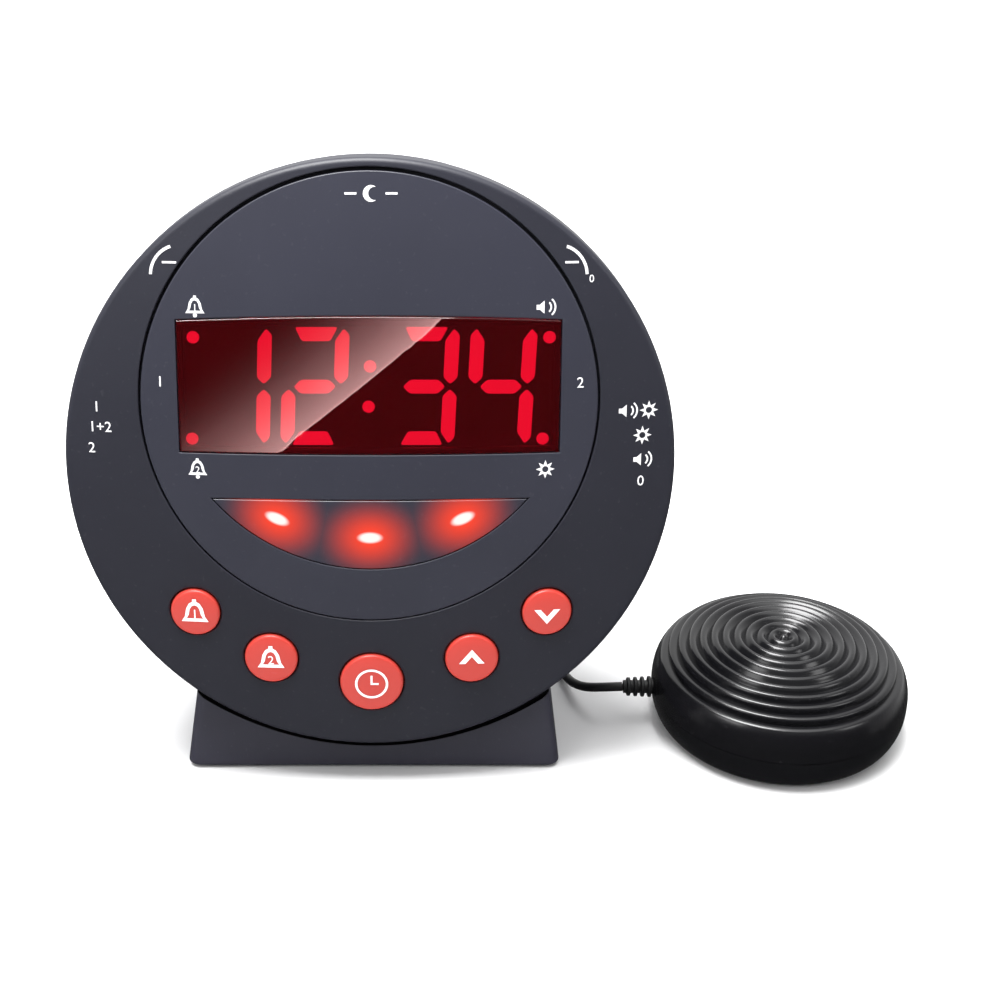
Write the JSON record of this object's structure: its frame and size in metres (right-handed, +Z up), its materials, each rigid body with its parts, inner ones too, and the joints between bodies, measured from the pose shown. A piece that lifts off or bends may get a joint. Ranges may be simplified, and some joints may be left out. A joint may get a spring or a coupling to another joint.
{
  "type": "vibrating alarm clock",
  "caption": "Round charcoal alarm clock with red digits and red push buttons, leaning back on a stand, with a corded ridged bed shaker that plugs into its back.",
  "frame": {"origin": "on the table, below the middle of the clock and shaker taken together, the cord left out", "axes": "+X to the right of the clock's face, towards the shaker; +Y away from the viewer; +Z up"},
  "size_m": [0.2198, 0.1358, 0.159],
  "materials": {
    "case": "fine moulded grain, charcoal",
    "panel": "satin charcoal",
    "filter": "polished dark red filter",
    "lens": "smoked, satin",
    "board": "green solder mask",
    "lamp": "clear red",
    "button": "satin coral red",
    "black": "satin black",
    "paper": "pressed paper cone",
    "steel": "plated",
    "brass": "turned",
    "puck": "satin black",
    "rubber": "dull",
    "cord": "satin cord sheath"
  },
  "bodies": {
    "base": {"front_housing": "case", "rear_housing": "case", "stand": "case", "base_plate": "case", "face_panel": "panel", "display_window": "filter", "flash_lens": "lens", "main_board": "board", "display_module": "lamp", "flash_lamp_left": "lamp", "flash_lamp_middle": "lamp", "flash_lamp_right": "lamp", "alarm1_switch": "black", "alarm2_switch": "black", "time_switch": "black", "up_switch": "black", "down_switch": "black", "snooze_switch": "black", "supply_jack": "black", "shaker_jack": "black", "motor_cradle": "black", "shaker_plug": "black", "cord_tie": "black", "speaker_cone": "paper", "brightness_control": "steel", "volume_control": "steel", "alarm_selector_switch": "steel", "mode_selector_switch": "steel", "speaker_frame": "steel", "housing_screw_1": "steel", "housing_screw_2": "steel", "housing_screw_3": "steel", "housing_screw_4": "steel", "backup_cell": "steel", "shaker_motor": "steel", "shaker_top": "puck", "shaker_bottom": "puck", "foot_1": "rubber", "foot_2": "rubber", "foot_3": "rubber", "foot_4": "rubber", "shaker_strain_relief": "rubber", "cord_clock_lead": "cord", "cord_coil": "cord", "cord_shaker_lead": "cord"},
    "alarm1_button": {"alarm1_button": "button"},
    "alarm2_button": {"alarm2_button": "button"},
    "time_button": {"time_button": "button"},
    "up_button": {"up_button": "button"},
    "down_button": {"down_button": "button"},
    "snooze_bar": {"snooze_bar": "case"},
    "brightness_wheel": {"brightness_wheel": "black"},
    "volume_wheel": {"volume_wheel": "black"},
    "alarm_selector": {"alarm_selector": "black"},
    "mode_selector": {"mode_selector": "black"},
    "battery_door": {"battery_door": "case"},
    "rotor": {"motor_shaft": "steel", "eccentric_weight": "brass"}
  },
  "joints": [
    {"name": "alarm1_press", "type": "slide", "parent": "base", "child": "alarm1_button", "axis": [0, 0.9781, -0.2079], "range_m": [0, 0.0008], "stiffness_N_per_m": 600, "springref_m": -0.0005},
    {"name": "alarm2_press", "type": "slide", "parent": "base", "child": "alarm2_button", "axis": [0, 0.9781, -0.2079], "range_m": [0, 0.0008], "stiffness_N_per_m": 600, "springref_m": -0.0005},
    {"name": "time_press", "type": "slide", "parent": "base", "child": "time_button", "axis": [0, 0.9781, -0.2079], "range_m": [0, 0.0008], "stiffness_N_per_m": 600, "springref_m": -0.0005},
    {"name": "up_press", "type": "slide", "parent": "base", "child": "up_button", "axis": [0, 0.9781, -0.2079], "range_m": [0, 0.0008], "stiffness_N_per_m": 600, "springref_m": -0.0005},
    {"name": "down_press", "type": "slide", "parent": "base", "child": "down_button", "axis": [0, 0.9781, -0.2079], "range_m": [0, 0.0008], "stiffness_N_per_m": 600, "springref_m": -0.0005},
    {"name": "snooze_press", "type": "slide", "parent": "base", "child": "snooze_bar", "axis": [0, -0.2079, -0.9781], "range_m": [0, 0.0015], "stiffness_N_per_m": 500, "springref_m": -0.001},
    {"name": "brightness_turn", "type": "hinge", "parent": "base", "child": "brightness_wheel", "pos_m": [-0.08234, 0.00821, 0.12548], "axis": [0, 0.9781, -0.2079], "range_deg": [-135, 135]},
    {"name": "volume_turn", "type": "hinge", "parent": "base", "child": "volume_wheel", "pos_m": [0.01253, 0.00821, 0.12548], "axis": [0, 0.9781, -0.2079], "range_deg": [-135, 135]},
    {"name": "alarm_select", "type": "slide", "parent": "base", "child": "alarm_selector", "axis": [0, 0.2079, 0.9781], "range_m": [-0.003, 0.003]},
    {"name": "mode_select", "type": "slide", "parent": "base", "child": "mode_selector", "axis": [0, 0.2079, 0.9781], "range_m": [-0.006, 0.003]},
    {"name": "door_slide", "type": "slide", "parent": "base", "child": "battery_door", "axis": [0, 1, 0], "range_m": [0, 0.022]},
    {"name": "rotor_spin", "type": "hinge", "parent": "base", "child": "rotor", "pos_m": [0.08759, -0.00519, 0.0125], "axis": [1, 0, 0], "continuous": true}
  ]
}
